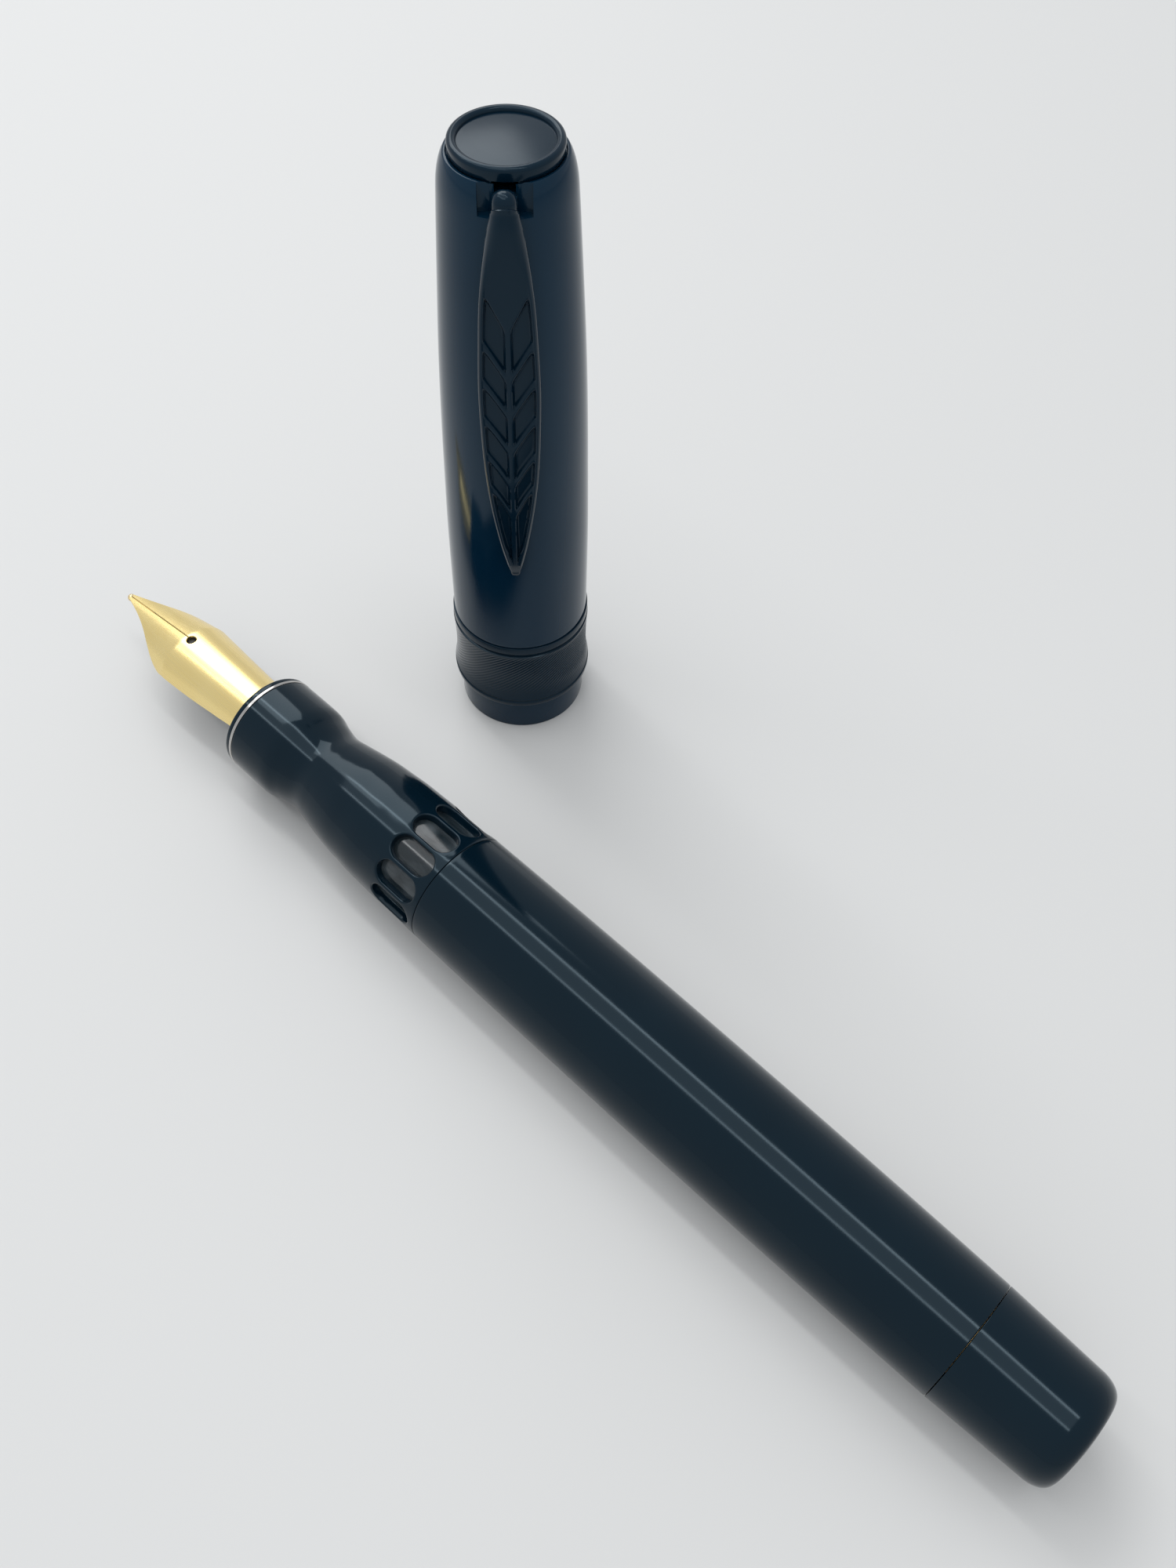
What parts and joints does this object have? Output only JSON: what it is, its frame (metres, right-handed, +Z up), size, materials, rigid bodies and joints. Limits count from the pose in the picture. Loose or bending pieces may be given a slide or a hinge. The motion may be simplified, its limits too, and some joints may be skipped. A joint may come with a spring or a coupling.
{
  "type": "fountain pen",
  "caption": "Plunger-filling fountain pen with open gold nib, windowed grip and end knob, its clip cap standing beside it.",
  "frame": {"origin": "middle of the footprint of the lying pen and the standing cap, on the surface they rest on", "axes": "+X along the pen from the nib's tip to the end knob, +Z up; the cap's own axis is parallel to Z"},
  "size_m": [0.129, 0.041, 0.0671],
  "materials": {
    "resin": "polished blue-black resin",
    "black_metal": "glossy black coating on metal",
    "silver_trim": "polished",
    "gold": "satin gold, brushed along the nib",
    "feed_plastic": "matte black",
    "brass_fittings": "machined",
    "inner_plastic": "moulded",
    "rubber_seals": "soft black rubber",
    "clear_tube": "smoky clear acrylic",
    "steel": "fine turned"
  },
  "bodies": {
    "pen": {"barrel": "resin", "section": "resin", "section_front_ring": "resin", "section_trim_ring": "silver_trim", "lock_magnets": "steel", "nib": "gold", "nib_tipping": "gold", "feed": "feed_plastic", "nib_collar": "brass_fittings", "collar_o_ring": "rubber_seals", "shutoff_seat": "rubber_seals", "ink_window_tube": "clear_tube", "barrel_o_ring": "rubber_seals", "rear_gland": "brass_fittings", "gland_packing": "rubber_seals", "packing_spacer": "inner_plastic", "gland_nut": "brass_fittings"},
    "plunger": {"plunger_rod": "steel", "plunger_nose": "inner_plastic", "plunger_seal": "rubber_seals", "seal_washer": "steel", "rod_collar": "steel"},
    "knob": {"end_knob": "resin", "knob_insert": "brass_fittings"},
    "cap": {"cap_shell": "resin", "mouth_sleeve": "resin", "cap_band": "black_metal", "cap_liner": "inner_plastic", "cap_magnets": "steel", "clip_housing": "black_metal", "clip_pin": "steel", "clip_spring": "steel", "cap_finial": "black_metal", "finial_stud": "steel"},
    "clip": {"clip": "black_metal"}
  },
  "joints": [
    {"name": "plunger_pull", "type": "slide", "parent": "pen", "child": "plunger", "axis": [1, 0, 0], "range_m": [0, 0.058]},
    {"name": "knob_turn", "type": "hinge", "parent": "plunger", "child": "knob", "pos_m": [0.06132, -0.01422, 0.00633], "axis": [1, 0, 0], "continuous": true},
    {"name": "cap_lift", "type": "slide", "parent": "pen", "child": "cap", "axis": [0, 0, 1], "range_m": [0, 0.08]},
    {"name": "clip_open", "type": "hinge", "parent": "cap", "child": "clip", "pos_m": [-0.02539, 0.01061, 0.0645], "axis": [-0.7193, -0.6947, 0], "range_deg": [0, 7], "stiffness_Nm_per_rad": 0.6, "springref_deg": -1.72, "deforming": ["clip_spring"]}
  ]
}
